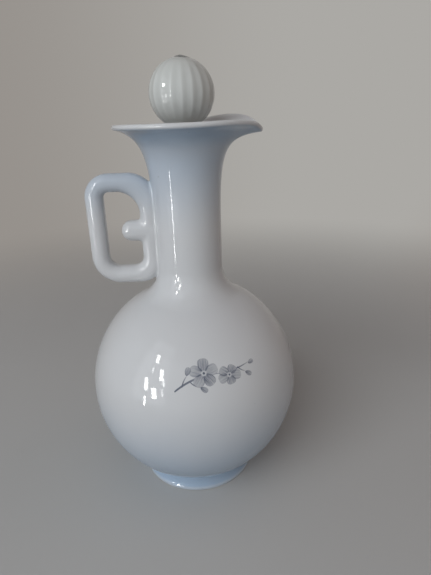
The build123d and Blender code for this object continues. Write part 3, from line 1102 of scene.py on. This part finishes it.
ROOM_RADIUS, ROOM_BEND, ROOM_HEIGHT = 1.6, 0.5, 1.4
bend_from = ROOM_RADIUS - ROOM_BEND
bend_rows = [
    (bend_from + ROOM_BEND * math.sin(a), ROOM_BEND - ROOM_BEND * math.cos(a))
    for a in np.radians(np.linspace(6, 90, 15))
]
flat_rows = [(0.2, 0), (0.5, 0), (bend_from, 0)]
floor = sweep_mesh("floor", flat_rows + bend_rows + [(ROOM_RADIUS, ROOM_HEIGHT)])
print("Floor:", len(floor.data.polygons), "faces")

# %% Paper of the floor and the glow of its wall
paper, tree, shader = new_material("pale_paper")
place = add(tree, "ShaderNodeTexCoord", output=3)
fibre = noise(tree, place, 9.0, 5.0)
pale = mixed(tree, fibre, colour(184, 184, 183), colour(188, 188, 187))
wire(tree, pale, shader.inputs["Base Color"])
shader.inputs["Roughness"].default_value = 0.75
shader.inputs["Specular IOR Level"].default_value = 0.0

# painted light and shade on the wall: the glow is bright and cool on the lit side, dim and warm on
# the shaded side
LEFT_BACK, RIGHT_BACK = colour(150, 145, 140), colour(171, 169, 165)
LIT_WALL, SHADED_WALL = colour(206, 210, 214), colour(152, 143, 136)
CAMERA_RAY, GLOSSY_RAY = 0, 3
x, y, _ = parts_of(tree, place)
out = length_of(x, y)
lit_side = ramp(tree, (x * -0.62 - y * 0.55) / out, 0.1, 0.8)
shade_side = ramp(tree, x / out, 0.55, 0.95)
back = mixed(tree, ramp(tree, x / out, -0.5, 0.3), LEFT_BACK, RIGHT_BACK)
glow = mixed(tree, shade_side, mixed(tree, lit_side, back, LIT_WALL), SHADED_WALL)
rays = [add(tree, "ShaderNodeLightPath", output=ray) for ray in (CAMERA_RAY, GLOSSY_RAY)]
seen = (rays[0] + rays[1]).maths("MINIMUM", 1.0)
far = ramp(tree, out, 0.15, 0.6)
emission = tree.nodes.new("ShaderNodeEmission")
wire(tree, glow, emission.inputs["Color"])
blend = tree.nodes.new("ShaderNodeMixShader")
wire(tree, seen * far, blend.inputs[0])
tree.links.new(shader.outputs[0], blend.inputs[1])
tree.links.new(emission.outputs[0], blend.inputs[2])
result = next(node for node in tree.nodes if node.type == "OUTPUT_MATERIAL")
tree.links.new(blend.outputs[0], result.inputs["Surface"])
floor.data.materials.append(paper)
floor.visible_shadow = False
floor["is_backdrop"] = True
print("Paper:", len(tree.nodes), "nodes")

# %% Soft light
COOL, NEUTRAL, WARM = (0.93, 0.97, 1.0), (1.0, 0.97, 0.94), (1.0, 0.72, 0.60)
BELLY_MIDDLE = (0, 0, 0.08)


def softbox(name, azimuth, elevation, distance, size, power, aim=BELLY_MIDDLE, tone=(1, 1, 1)):
    """A rectangular lamp that faces the aim. Azimuth 0 is in front, 90 at the right."""
    turn, lift = math.radians(azimuth), math.radians(elevation)
    data = bpy.data.lights.new(name, "AREA")
    data.shape = "RECTANGLE"
    data.size, data.size_y = size
    data.energy = power
    data.color = tone
    lamp = bpy.data.objects.new(name, data)
    flat = math.cos(lift)
    away = Vector((math.sin(turn) * flat, -math.cos(turn) * flat, math.sin(lift)))
    lamp.location = Vector(aim) + away * distance
    lamp.rotation_euler = away.to_track_quat("Z", "Y").to_euler()
    lamp.visible_camera = False
    scene.collection.objects.link(lamp)
    return lamp


LAMP_DISTANCE = 1.2
lamps = [
    softbox("wide_left", -36, 30, LAMP_DISTANCE, (1.1, 0.9), 10.4, tone=COOL),
    softbox("overhead", 10, 78, LAMP_DISTANCE, (1.0, 1.0), 0.9, tone=NEUTRAL),
    softbox("warm_right", 95, 25, LAMP_DISTANCE, (1.0, 1.0), 0.9, tone=WARM),
]
for lamp in lamps:
    lamp.visible_glossy = False
print("Soft lights:", [lamp.name for lamp in lamps])

# %% Room light
# cool and bright at the left, warm and dim at the right, dim below
ROOM_LEFT, ROOM_RIGHT = colour(208, 211, 213), colour(146, 114, 100)
world = bpy.data.worlds.new("room")
scene.world = world
world.use_nodes = True
tree = world.node_tree
background = tree.nodes["Background"]
x, y, z = parts_of(tree, add(tree, "ShaderNodeTexCoord", output=0))
room = mixed(tree, ramp(tree, x + y * 0.3, -0.9, 0.8), ROOM_LEFT, ROOM_RIGHT)
wire(tree, room, background.inputs["Color"])
wire(tree, ramp(tree, z, -0.35, 0.1, ends=(0.24, 0.4)), background.inputs["Strength"])
print("Room light ready")

# %% [markdown]
# A mirror-like glaze shows the shape of its lamp. A tall light with bars across
# it, like a window, gives a line of small bright panes down the neck and belly
# that tells how round they are. A dim sheet behind the panes gives them a soft
# surround, as a curtain does. Both are seen only in the gloss and add nothing
# to the shading.

# %% Panes and curtain for the highlights
# azimuth in degrees, height, width and tallness in metres, brightness
PANES = (
    (-49, 0.310, 0.024, 0.072, 1.0), (-38, 0.205, 0.024, 0.072, 1.0),
    (-49, 0.215, 0.014, 0.030, 0.4), (-52, 0.120, 0.022, 0.066, 0.9),
    (-42, 0.085, 0.030, 0.056, 1.0), (-34, 0.160, 0.015, 0.046, 0.5),
    (-34, 0.100, 0.010, 0.040, 0.35), (-51, 0.029, 0.010, 0.052, 1.2),
)
PANE_RADIANCE = 22.0
PANE_DISTANCE = 0.34
PANE_ROLL = math.radians(12)  # all the panes lean but the lowest one
LOWEST = min(pane[1] for pane in PANES)
for number, (azimuth, height, wide, tall, share) in enumerate(PANES):
    power = PANE_RADIANCE * share * math.pi * wide * tall
    aim = (0, 0, height)
    pane = softbox(f"pane_{number}", azimuth, 0, PANE_DISTANCE, (wide, tall), power, aim=aim)
    pane.rotation_euler.rotate_axis("Z", PANE_ROLL if height > LOWEST else 0)
    pane.visible_diffuse = False
curtain = softbox("curtain", -49, 0, 0.46, (0.30, 0.66), 0.5, aim=(0, 0, 0.34), tone=COOL)
curtain.visible_diffuse = False
print("Panes:", len(PANES))

# %% [markdown]
# ## Print the sizes
#
# The boxes of the CAD model and of the dressed model are printed side by side.
# The dressed model has to stay inside the box of the CAD model.

# %% Print the sizes
dressed_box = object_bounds()
for label, box in (("CAD", cad_box), ("Dressed", dressed_box)):
    print(label, "box in mm:", [[round(v / MM, 2) for v in corner] for corner in box])
